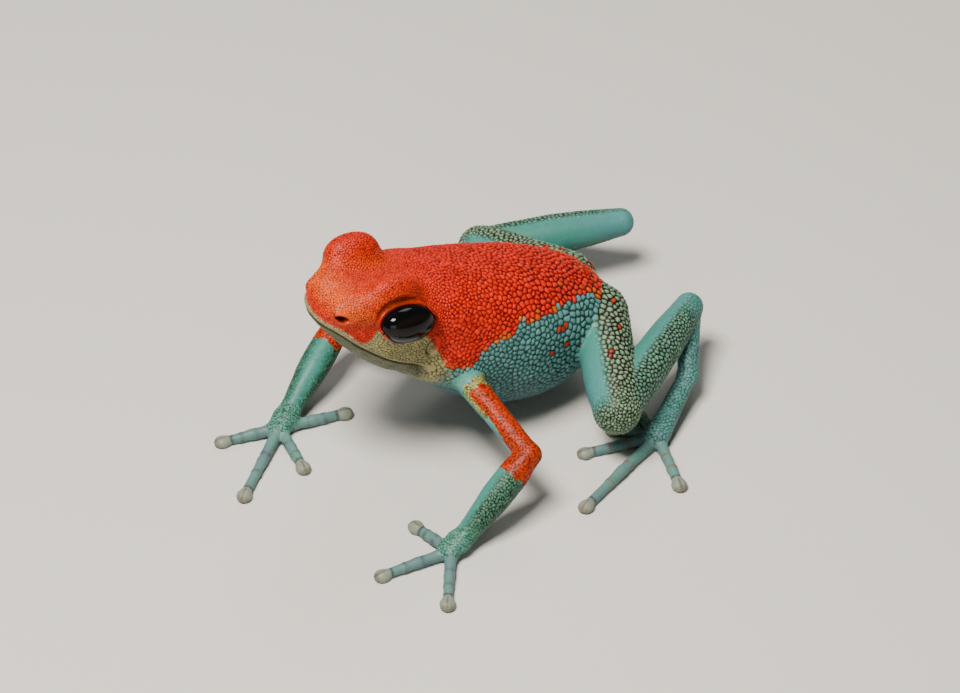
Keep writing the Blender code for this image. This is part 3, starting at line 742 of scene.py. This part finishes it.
def look(P):
    """What the skin is like at each point: top and gap colours, spacing and height of its granules, and how wide the
    gaps between them are.
    """
    count = len(P)
    part, side = part_of(P)
    f, l, n = to_body(P)
    s = np.abs(l)
    top, gap = np.zeros((count, 3)), np.zeros((count, 3))
    spacing, height, wide = np.full(count, 0.3), np.full(count, 0.0), np.full(count, 0.1)

    def put(i, top_, gap_, spacing_, height_, wide_=0.1):
        top[i], gap[i], spacing[i], height[i], wide[i] = top_, gap_, spacing_, height_, wide_

    rough = noise(P, 0.9, 3) * 0.22 + noise(P, 0.35, 4) * 0.20

    # head and trunk
    i = np.flatnonzero(part == 0)
    fi, ni, si, Pi = f[i], n[i], s[i], P[i]
    edge = np.interp(fi, RED_EDGE[:, 0], RED_EDGE[:, 1])
    keen = np.interp(fi, (0, 7.0, 10, 12.5, 14, 21), (1.5, 1.1, 0.7, 0.35, 0.12, 0.10))
    over = ni - edge + rough[i] * keen * 1.3 + 0.18 * (l[i] < 0) * noise(Pi, 1.7, 9)
    red = over > 0
    head = ramp(fi, 12.2, 15.5)
    under = ramp(mouth_height(np.clip(fi, 13.4, 21)) - ni, -0.05, 0.10) * ramp(fi, 13.0, 13.8)
    cheek = ramp(fi, 11.4, 12.6)
    belly = ramp(-ni, 2.2, 4.6)
    t_low = blend(blend(FLANK["top"], BELLY["top"], belly), CREAM["top"], cheek * (1 - 0.35 * belly))
    g_low = blend(blend(FLANK["gap"], BELLY["gap"], belly), CREAM["gap"], cheek * (1 - 0.35 * belly))
    # under the jaw the colours turn to the throat's, which hold painted shade as well as its own duller colour
    t_low, g_low = blend(t_low, THROAT_AND_SHADE["top"], under * 0.85), blend(g_low, THROAT_AND_SHADE["gap"], under * 0.85)
    # the coat's fringe is yellow-orange where it breaks up
    t_red = blend(RED["top"], RED_HEAD["top"], head)
    # painted highlight: a brighter orange along the brows and over the top of the snout, where the light from above
    # falls
    ridge = np.maximum(bump(ni, 2.7, 0.7) * bump(si, 1.7, 1.0) * bump(fi, 16.4, 1.6), bump(fi, 18.9, 1.2) * bump(ni, 2.2, 0.7))
    t_red = blend(t_red, srgb(214, 84, 0), ridge * head * 0.9)
    t_red = blend(t_red, FRINGE, np.clip(1.2 - over / 0.34, 0, 1) * np.interp(fi, (0, 9, 12, 13), (0.6, 0.75, 0.4, 0.0)) * (noise(Pi, 0.5, 6) > -0.25))
    g_red = blend(RED["gap"], RED_HEAD["gap"], head)
    # single orange granules out on the flank
    spots = (noise(Pi, 0.62, 21) > 0.70) & (over > -2.6) & (fi < 10.5) & (ni > -3.0)
    t_low = np.where(spots[:, None], ORANGE["top"] * 0.85, t_low)
    soft = np.interp(fi, (0, 11, 13.5, 21), (0.01, 0.02, 0.11, 0.11))
    share = ramp(over, -soft, soft)
    put(
        i,
        blend(t_low, t_red, share),
        blend(g_low, g_red, share),
        np.interp(fi, (0, 3, 8, 12, 14, 21), (0.40, 0.40, 0.31, 0.235, 0.165, 0.145)) + 0.03 * cheek * (1 - red) * (fi < 17),
        np.interp(fi, (0, 3, 8, 12, 14, 21), (0.120, 0.120, 0.095, 0.078, 0.054, 0.044)) * (1 - 0.45 * belly) * (1 - 0.35 * under),
        np.where(red, np.interp(fi, (0, 6, 12, 15), (0.30, 0.20, 0.14, 0.08)), 0.22 * (1 - 0.6 * cheek)),
    )
    # pale lip, lid edges
    lip = bump(ni, mouth_height(fi) + 0.20, 0.17) * ramp(fi, 13.6, 15.0) * (ni < edge + 0.3)
    top[i] = blend(top[i], LIP, lip * 0.75)
    gap[i] = blend(gap[i], LIP * 0.5, lip * 0.6)

    # limbs
    for which, arm, leg, flip in ((1, ARM_L, LEG_L, 1.0), (-1, ARM_R, LEG_R, -1.0)):
        turn = np.array((flip, 1.0, 1.0))
        mine = side == which

        # upper arm: a fine-grained orange sleeve over turquoise
        i = np.flatnonzero(mine & (part == 1))
        t, q, _ = along(P[i], arm["shoulder"], arm["elbow"])
        facing = q @ (unit(0.361, 0.436, 0.816) * turn)
        r = rough[i]
        on = (facing + 0.9 * ramp(t, 0.55, 1.0) + 0.35 * r > 0.0) & (t + 0.10 * r > 0.22)
        fringe = (t + 0.12 * r > 0.13) & (facing > -0.35) & ~on & (t < 0.5)
        grain = ramp(facing, -0.55, -0.1)
        top_ = np.where(on[:, None], ORANGE["top"], np.where(fringe[:, None], srgb(158, 150, 78), blend(srgb(56, 116, 106), srgb(84, 142, 130), grain)))
        gap_ = np.where(on[:, None], ORANGE["gap"], np.where(fringe[:, None], srgb(34, 56, 40), blend(srgb(56, 112, 108), srgb(48, 104, 102), grain)))
        put(i, top_, gap_, 0.175, np.where(on | fringe, 0.052, 0.012), np.where(on, 0.14, np.where(fringe, 0.25, 0.0)))

        # forearm: orange cuff below the elbow, light granules on dark green outside, smooth inside
        i = np.flatnonzero(mine & (part == 2))
        t, q, _ = along(P[i], arm["elbow"], arm["wrist"])
        smooth = ramp(q @ (unit(-0.63, -0.68, 0.23) * turn) + 0.15 * rough[i], 0.30, 0.75)
        on = t + 0.07 * rough[i] < 0.27
        dense = ramp(t, 0.75, 1.0)
        t_, g_ = blend(FORE_GRAIN["top"], SMOOTH, smooth), blend(blend(FORE_GRAIN["gap"], SMOOTH, smooth), srgb(20, 70, 64), dense * 0.7)
        put(i, np.where(on[:, None], ORANGE["top"], t_), np.where(on[:, None], ORANGE["gap"], g_), 0.17, np.where(on, 0.052, 0.040 * (1 - smooth) + 0.004), np.where(on, 0.14, 0.34 * (1 - 0.6 * dense)))

        # palm and fingers
        i = np.flatnonzero(mine & (part == 3))
        put(i, srgb(76, 128, 112), srgb(14, 48, 42), 0.17, 0.030, 0.18)

        # thigh: smooth and bluish in front, cream granules on brown behind
        i = np.flatnonzero(mine & (part == 5))
        t, q, _ = along(P[i], leg["hip"], leg["knee"])
        smooth = ramp(q @ (unit(-0.35, -0.93, 0.05) * turn) + 0.12 * rough[i], 0.20, 0.55) * ramp(1.12 - t, 0.0, 0.2)
        grain = dict(THIGH_GRAIN)
        spots = (noise(P[i], 0.55, 23) > 0.54) & (smooth < 0.1) & (t < 0.8) & (q[:, 2] > 0.1)
        t_ = np.where(spots[:, None], ORANGE["top"], blend(grain["top"], blend(SMOOTH, SMOOTH_BLUE, ramp(t, 0.3, 0.9)), smooth))
        g_ = blend(blend(grain["gap"], srgb(34, 14, 8), 0.5 + 0.5 * noise(P[i], 0.8, 31)), SMOOTH, smooth)
        put(i, t_, g_, np.interp(t, (0.3, 0.8, 1.0), (0.33, 0.30, 0.21)), 0.085 * (1 - smooth) + 0.004, 0.44)

        # shank: smooth along its inner upper edge
        i = np.flatnonzero(mine & (part == 6))
        t, q, _ = along(P[i], leg["knee"], leg["heel"])
        smooth = np.maximum(ramp(q @ (unit(-0.75, -0.37, 0.53) * turn) + 0.12 * rough[i], 0.35, 0.70), 0.75 * ramp(t, 0.80, 1.02))
        low = ramp(-q[:, 2], -0.1, 0.7)
        t_ = blend(blend(SHANK_GRAIN["top"], srgb(52, 122, 102), low * 0.7), blend(SMOOTH, SMOOTH_BLUE, ramp(t, 0.5, 1.0)), smooth)
        g_ = blend(blend(SHANK_GRAIN["gap"], srgb(3, 18, 16), low), SMOOTH * 0.85, smooth)
        put(i, t_, g_, np.interp(t, (0.0, 0.3, 1.0), (0.24, 0.28, 0.20)), 0.070 * (1 - smooth) + 0.005, 0.36)

        # ankle and foot
        i = np.flatnonzero(mine & ((part == 7) | (part == 8)))
        t = noise(P[i], 0.8, 41)
        put(i, blend(srgb(70, 128, 118), srgb(86, 122, 124), 0.5 + 0.5 * t), srgb(20, 56, 52), 0.20, 0.026, 0.16)

    # fingers and toes: banded at the joints, pale discs with dark creases
    for k, word in ((4, "finger"), (9, "toe")):
        for which, name in ((1, "left"), (-1, "right")):
            j = np.flatnonzero((part == k) & (side == which))
            if not len(j):
                continue
            reach, share, across, high = np.full(len(j), 9.0), np.zeros(len(j)), np.zeros(len(j)), np.zeros(len(j))
            length = np.ones(len(j))
            for start, middle, tip, out in DIGITS[word, name]:
                t, q, size = along(P[j], start, tip)
                off = size + 4 * np.maximum(t - 1.15, 0) + 4 * np.maximum(-t, 0)
                better = off < reach
                reach[better] = off[better]
                whole = np.linalg.norm(tip - start)
                share[better], length[better] = t[better], whole
                v = P[j] - tip
                across[better] = (v @ np.array((-out[1], out[0], 0.0)))[better]
                high[better] = v[better, 2]
            from_tip = (1 - share) * length  # mm back from the middle of the disc
            wave = 0.05 * noise(P[j], 0.25, 51)
            col = blend(DIGIT, srgb(88, 114, 118), 0.5 + 0.5 * noise(P[j], 0.7, 52))
            band = np.maximum.reduce([bump(from_tip + wave, length * (1 - c), 0.11) for c in (0.42, 0.68)])
            band = band * (0.55 + 0.45 * noise(P[j], 0.2, 53)) * (length > 2.2)
            col = blend(col, BAND if k == 4 else srgb(122, 54, 26), np.clip(band, 0, 1) * 0.75)
            disc = ramp(0.46 - from_tip + wave, 0.0, 0.12)
            col = blend(col, DISC, disc * 0.85)
            collar = bump(from_tip + wave, 0.50, 0.07)
            col = blend(col, srgb(50, 26, 18), collar * 0.85)
            seam = bump(across, 0.0, 0.045) * ramp(0.34 - from_tip, 0.0, 0.1) * ramp(high, 0.05, 0.15)
            col = blend(col, srgb(60, 44, 40), seam * 0.8)
            tip_edge = ramp(-from_tip, 0.22, 0.42)
            col = blend(col, srgb(92, 56, 38), tip_edge * 0.35)
            put(j, col, col * 0.72, 0.16, 0.006)
    return dict(top=top, gap=gap, spacing=spacing, height=height, wide=wide, part=part, side=side, f=f, l=l, n=n)


def calm_of(P, at):
    """1 on open skin, falling to 0 at the lids, nostrils and mouth line, where there are no granules."""
    f, s, n = at["f"], np.abs(at["l"]), at["n"]
    calm = np.ones(len(P))
    head = at["part"] == 0
    head &= f > 13.0
    i = np.flatnonzero(head)
    fi, si, ni = f[i], s[i], n[i]
    rim, ball = lid_edge(fi, at["l"][i], ni)
    c = ramp(rim, 0.14, 0.32) * (ball > -0.05)
    c *= ramp(np.sqrt((fi - NOSTRIL[0]) ** 2 + (si - NOSTRIL[1]) ** 2 + (ni - NOSTRIL[2]) ** 2), 0.34, 0.55)
    c *= ramp(np.abs(ni - mouth_height(fi)), 0.08, 0.24)
    c *= ramp(np.abs(np.sqrt(((fi - 13.42) / 0.36) ** 2 + ((ni - 0.02) / 0.55) ** 2) - 1.0), 0.2, 0.5)
    calm[i] = c
    return calm


def scatter(P, spacing, weight, seed):
    """Centres of granules: points no nearer to each other than their spacing."""
    tree = kdtree.KDTree(len(P))
    for i, p in enumerate(P.tolist()):
        tree.insert(p, i)
    tree.balance()
    free = weight > 0.0
    chosen = []
    rng = np.random.default_rng(seed)
    places, reach = P.tolist(), (spacing * rng.uniform(0.66, 0.98, len(P))).tolist()
    for i in rng.permutation(len(P)).tolist():
        if free[i]:
            chosen.append(i)
            for _, j, _ in tree.find_range(places[i], reach[i]):
                free[j] = False
    return np.array(chosen)


def nearest_two(P, centres):
    tree = kdtree.KDTree(len(centres))
    for i, p in enumerate(centres.tolist()):
        tree.insert(p, i)
    tree.balance()
    first, d1, d2 = [], [], []
    for p in P.tolist():
        a, b = tree.find_n(p, 2)
        first.append(a[1])
        d1.append(a[2])
        d2.append(b[2])
    return np.array(first), np.array(d1), np.array(d2)


# ================================================================ flat map of the skin
def charts_of(T, of_face, label):
    """A number for each connected patch of triangles whose points share a label."""
    face = label[T]
    own = np.where(face[:, 1] == face[:, 2], face[:, 1], face[:, 0])
    # two triangles on each edge: join them where their labels agree
    order = np.argsort(of_face.ravel(), kind="stable")
    edge, tri = of_face.ravel()[order], order // 3
    pair = np.flatnonzero(edge[1:] == edge[:-1])
    a, b = tri[pair], tri[pair + 1]
    same = own[a] == own[b]
    a, b = a[same], b[same]
    root = np.arange(len(T))
    while True:
        low = np.minimum(root[a], root[b])
        new = root.copy()
        np.minimum.at(new, root[a], low)
        np.minimum.at(new, root[b], low)
        while True:
            deeper = new[new]
            if (deeper == new).all():
                break
            new = deeper
        if (new == root).all():
            return own, np.unique(root, return_inverse=True)[1]
        root = new


def flat_map(obj, P, T, normals, part):
    """A UV map for baking: each part of the body seen along the axis that its smooth surface faces most."""
    ends, of_face = edges_of(T)
    a, b = ends[:, 0], ends[:, 1]
    for _ in range(8):
        normals = normals + np.stack([np.bincount(a, normals[b, k], len(P)) + np.bincount(b, normals[a, k], len(P)) for k in range(3)], 1)
        normals /= np.maximum(np.linalg.norm(normals, axis=1), 1e-6)[:, None]
    axis = np.abs(normals).argmax(1)
    sign = np.take_along_axis(normals, axis[:, None], 1)[:, 0] > 0
    own, chart = charts_of(T, of_face, part * 6 + axis * 2 + sign)
    axis, sign = (own % 6) // 2, own % 2
    u = np.take_along_axis(P[T], ((axis + 1) % 3)[:, None, None], 2)[:, :, 0]
    v = np.take_along_axis(P[T], ((axis + 2) % 3)[:, None, None], 2)[:, :, 0]
    u = np.where(sign[:, None] == 1, u, -u)
    count = chart.max() + 1
    low_u, low_v = np.full(count, 1e9), np.full(count, 1e9)
    high_u, high_v = np.full(count, -1e9), np.full(count, -1e9)
    np.minimum.at(low_u, chart, u.min(1))
    np.minimum.at(low_v, chart, v.min(1))
    np.maximum.at(high_u, chart, u.max(1))
    np.maximum.at(high_v, chart, v.max(1))
    wide, high = high_u - low_u + 0.06, high_v - low_v + 0.06
    # shelves, tallest first, in the square that holds them
    order = np.argsort(-high)
    side = math.sqrt((wide * high).sum()) * 1.02
    while True:
        x = y = shelf = 0.0
        left, base = np.zeros(count), np.zeros(count)
        for k in order.tolist():
            if x + wide[k] > side:
                x, y, shelf = 0.0, y + shelf, 0.0
            shelf = max(shelf, high[k])
            left[k], base[k] = x, y
            x += wide[k]
        if y + shelf <= side and wide.max() <= side:
            break
        side *= 1.02
    uv = np.stack([(u - low_u[chart][:, None] + left[chart][:, None] + 0.03) / side, (v - low_v[chart][:, None] + base[chart][:, None] + 0.03) / side], -1)
    layer = obj.data.uv_layers.new(name="OFBake")
    layer.uv.foreach_set("vector", uv.astype(np.float32).ravel())


# ================================================================ build the skin
points, quads = nets(0.15)
triangles = np.concatenate([quads[:, [0, 1, 2]], quads[:, [0, 2, 3]]])
points = relaxed(onto_skin(points, 1), triangles, 3)
for _ in range(3):
    points, triangles = refined(points, triangles, wanted_edge)
points = onto_skin(points, 1)
_, normals = slope_of(points)
normals /= np.maximum(np.linalg.norm(normals, axis=1), 1e-6)[:, None]

at = look(points)
calm = calm_of(points, at)
chosen = scatter(points, at["spacing"], at["height"] - 0.003, 11)
first, d1, d2 = nearest_two(points, points[chosen])
of = chosen[first]
spread = at["spacing"][of]
x = (d2 - d1) / spread + 0.10 * noise(points, 0.11, 13)
x = np.clip((x - 0.6 * at["wide"]) / 0.72, 0.0, 1.0)
dome = np.sqrt(np.maximum(1 - (1 - x) ** 2, 0.0))
dome *= np.clip(1.25 - 0.5 * (d1 / spread) ** 2, 0, 1)
rng = np.random.default_rng(5)
vary = rng.uniform(0.65, 1.15, len(chosen))[first]
height = 0.5 * (at["height"] + at["height"][of]) * vary * calm
fine = noise(points, 0.16, 61) * 0.5 + noise(points, 0.09, 62) * 0.5
wave = (noise(points, 1.6, 63) * 0.03 + noise(points, 0.7, 64) * 0.012) * ramp(calm, 0.0, 0.6)
lift = height * (dome - 0.65) + wave * calm + 0.006 * fine * calm * (height > 0.01)
smooth_points = points
points = points + normals * lift[:, None]
points[:, 2] = np.maximum(points[:, 2], 0.0)

# colour of each point: its granule's own top colour on the granule, the gap's between granules
tint = rng.normal(0.0, 1.0, (len(chosen), 3))[first]
grained = np.clip(at["height"] / 0.02, 0, 1)
fades = 0.85 * ramp(at["f"], 13.0, 15.0) * (at["part"] == 0)  # on the head colours fade, elsewhere each granule has its own
own = blend(at["top"], at["top"][of], grained * (at["part"] == at["part"][of]) * (1 - fades))
own = own * (1 + grained[:, None] * (0.10 * tint[:, :1] + 0.03 * tint))
cover = ramp(dome, 0.25, 0.75)
colour = blend(at["gap"], own, blend(np.ones(len(points)), cover, grained * calm))
colour = colour * (1 + 0.05 * noise(points, 0.8, 71) + 0.04 * fine)[:, None]
f, s, n = at["f"], np.abs(at["l"]), at["n"]
body = at["part"] == 0
# painted shade in the groove of the mouth line and in the pits of the nostrils, the rims of the lids, then painted
# shade where the skin tucks under the lids against the ball and in the groove round the ear
# painted shade: a dark line in the mouth's groove
line = bump(n, mouth_height(f), 0.06) * ramp(f, 13.35, 13.9) * body
colour = blend(colour, srgb(26, 22, 18), line * 0.9)
# painted shade: the nostrils' pits darkened
nostril_shade = np.sqrt(((f - NOSTRIL[0]) / 0.34) ** 2 + ((s - NOSTRIL[1]) / 0.5) ** 2 + ((n - NOSTRIL[2]) / 0.22) ** 2)
colour = blend(colour, srgb(20, 6, 4), (1 - ramp(nostril_shade, 0.85, 1.15)) * body)
rim, ball = lid_edge(f, at["l"], n)
rim = bump(rim, 0.07, 0.07) * body * (f > 13)
low_rim = ramp(EYE[2] - 0.35 - n, 0.0, 0.5)
colour = blend(colour, srgb(140, 146, 132), rim * low_rim * 0.9)
colour = blend(colour, srgb(90, 8, 0), rim * (1 - low_rim) * 0.7)
# painted shade: skin that runs in under the lids against the ball is made near black
socket_shade = ramp(-ball, 0.0, 0.04) * body * (f > 13)
colour = blend(colour, srgb(18, 14, 14), socket_shade)
# painted shade: a dark crescent in the groove round the ear
ear = np.sqrt(((f - 13.42) / 0.36) ** 2 + ((n - 0.02) / 0.55) ** 2)
colour = blend(colour, srgb(36, 28, 20), bump(ear, 1.0, 0.20) * ramp(f, 13.25, 13.6) * body * (s > 2.2) * 0.95)
colour = np.clip(colour, 0.0, 1.0)

skin = make_mesh("skin", points, triangles)
layer = skin.data.color_attributes.new("skin_colour", "FLOAT_COLOR", "POINT")
layer.data.foreach_set("color", np.concatenate([colour, np.ones((len(colour), 1))], 1).astype(np.float32).ravel())
flat_map(skin, smooth_points, triangles, normals, at["part"])
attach(skin, "root")
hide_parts(*[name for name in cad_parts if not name.startswith("eye_")])


# ================================================================ materials
def plain(name, colour, roughness):
    mat = bpy.data.materials.new(name)
    mat.use_nodes = True
    shader = mat.node_tree.nodes["Principled BSDF"]
    shader.inputs["Base Color"].default_value = (*colour, 1.0)
    shader.inputs["Roughness"].default_value = roughness
    return mat


def skin_material():
    mat = bpy.data.materials.new("moist_skin")
    mat.use_nodes = True
    nodes, links = mat.node_tree.nodes, mat.node_tree.links
    shader = nodes["Principled BSDF"]
    attribute = nodes.new("ShaderNodeAttribute")
    attribute.attribute_name = "skin_colour"
    place = nodes.new("ShaderNodeTexCoord")
    grain = nodes.new("ShaderNodeTexNoise")
    grain.inputs["Scale"].default_value = 9000.0
    grain.inputs["Detail"].default_value = 2.0
    links.new(place.outputs["Object"], grain.inputs["Vector"])
    links.new(attribute.outputs["Color"], shader.inputs["Base Color"])
    shine = nodes.new("ShaderNodeMapRange")
    shine.inputs["To Min"].default_value = 0.34
    shine.inputs["To Max"].default_value = 0.50
    links.new(grain.outputs["Fac"], shine.inputs["Value"])
    links.new(shine.outputs["Result"], shader.inputs["Roughness"])
    relief = nodes.new("ShaderNodeBump")
    relief.inputs["Strength"].default_value = 0.25
    relief.inputs["Distance"].default_value = 0.00002
    links.new(grain.outputs["Fac"], relief.inputs["Height"])
    links.new(relief.outputs["Normal"], shader.inputs["Normal"])
    shader.inputs["Specular IOR Level"].default_value = 0.20
    return mat


skin.data.materials.append(skin_material())


# ================================================================ eyes
def eyeball(side, sign):
    """A smooth ball in the socket: black, with the iris no more than a breath of brown."""
    out, up = (float(v) for v in eye_middle(np.array(sign)))
    rows, columns = 48, 96
    points, quads = [], []
    for r in range(rows + 1):
        polar = math.pi * r / rows
        for c in range(columns):
            turn = 2 * math.pi * c / columns
            v = (math.sin(polar) * math.cos(turn), math.cos(polar), math.sin(polar) * math.sin(turn))
            points.append(from_body(EYE[0] + v[0] * EYE_BALL[0], sign * (out + v[1] * EYE_BALL[1]), up + v[2] * EYE_BALL[2]))
    for r in range(rows):
        for c in range(columns):
            d = (c + 1) % columns
            q = (r * columns + c, r * columns + d, (r + 1) * columns + d, (r + 1) * columns + c)
            quads.append(q if sign > 0 else q[::-1])
    ball = make_mesh("eyeball_" + side, np.array(points), np.array(quads))
    share = np.repeat(np.cos(np.linspace(0, math.pi, rows + 1)), columns)  # 1 at the outer pole
    ring = bump(share, 0.62, 0.16)
    colour = blend(srgb(5, 6, 8), srgb(28, 20, 14), ring * 0.4)
    layer = ball.data.color_attributes.new("skin_colour", "FLOAT_COLOR", "POINT")
    layer.data.foreach_set("color", np.concatenate([colour, np.ones((len(colour), 1))], 1).astype(np.float32).ravel())
    ball.data.materials.append(eye_material())
    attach(ball, "root")
    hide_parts("eye_" + side)
    return ball


def eye_material():
    mat = bpy.data.materials.new("eye")
    mat.use_nodes = True
    nodes, links = mat.node_tree.nodes, mat.node_tree.links
    shader = nodes["Principled BSDF"]
    attribute = nodes.new("ShaderNodeAttribute")
    attribute.attribute_name = "skin_colour"
    links.new(attribute.outputs["Color"], shader.inputs["Base Color"])
    shader.inputs["Roughness"].default_value = 0.06
    shader.inputs["Specular IOR Level"].default_value = 0.18
    return mat


eyeball("left", 1.0)
eyeball("right", -1.0)

# ================================================================ stage
floor_mesh = bpy.data.meshes.new("floor")
floor_mesh.from_pydata([(-3, -3, 0), (3, -3, 0), (3, 3, 0), (-3, 3, 0)], [], [(0, 1, 2, 3)])
floor = bpy.data.objects.new("floor", floor_mesh)
bpy.context.scene.collection.objects.link(floor)
floor_mesh.materials.append(plain("floor", (0.62, 0.60, 0.57), 0.8))


def area_light(name, place, aim, size, power, colour=(1, 1, 1)):
    data = bpy.data.lights.new(name, "AREA")
    data.shape = "RECTANGLE"
    data.size, data.size_y = size
    data.energy = power
    data.color = colour
    obj = bpy.data.objects.new(name, data)
    obj.location = place
    obj.rotation_euler = (Vector(aim) - Vector(place)).to_track_quat("-Z", "Y").to_euler()
    bpy.context.scene.collection.objects.link(obj)
    return obj


MIDDLE = (0.0, 0.0, 0.006)
area_light("key", (0.03, -0.07, 0.20), MIDDLE, (0.08, 0.06), 0.95, (1.0, 0.95, 0.87))
area_light("fill", (0.16, -0.12, 0.06), MIDDLE, (0.10, 0.08), 0.07)
area_light("back", (-0.12, 0.10, 0.16), MIDDLE, (0.08, 0.08), 0.09)
world = bpy.data.worlds.new("world")
bpy.context.scene.world = world
world.use_nodes = True
world.node_tree.nodes["Background"].inputs["Color"].default_value = (0.80, 0.79, 0.77, 1)
world.node_tree.nodes["Background"].inputs["Strength"].default_value = 0.11

camera_data = bpy.data.cameras.new("camera")
camera_data.sensor_width = 36.0
camera_data.lens = 155.43
camera_data.clip_start, camera_data.clip_end = 0.005, 10.0
camera = bpy.data.objects.new("camera", camera_data)
aim = Vector((np.array((2.840, -9.218, 7.033)) + SHIFT) * MM)
camera.location = Vector((np.array((159.359, -101.782, 163.666)) + SHIFT) * MM)
camera.rotation_euler = (aim - camera.location).to_track_quat("-Z", "Y").to_euler()
bpy.context.scene.collection.objects.link(camera)
bpy.context.scene.camera = camera
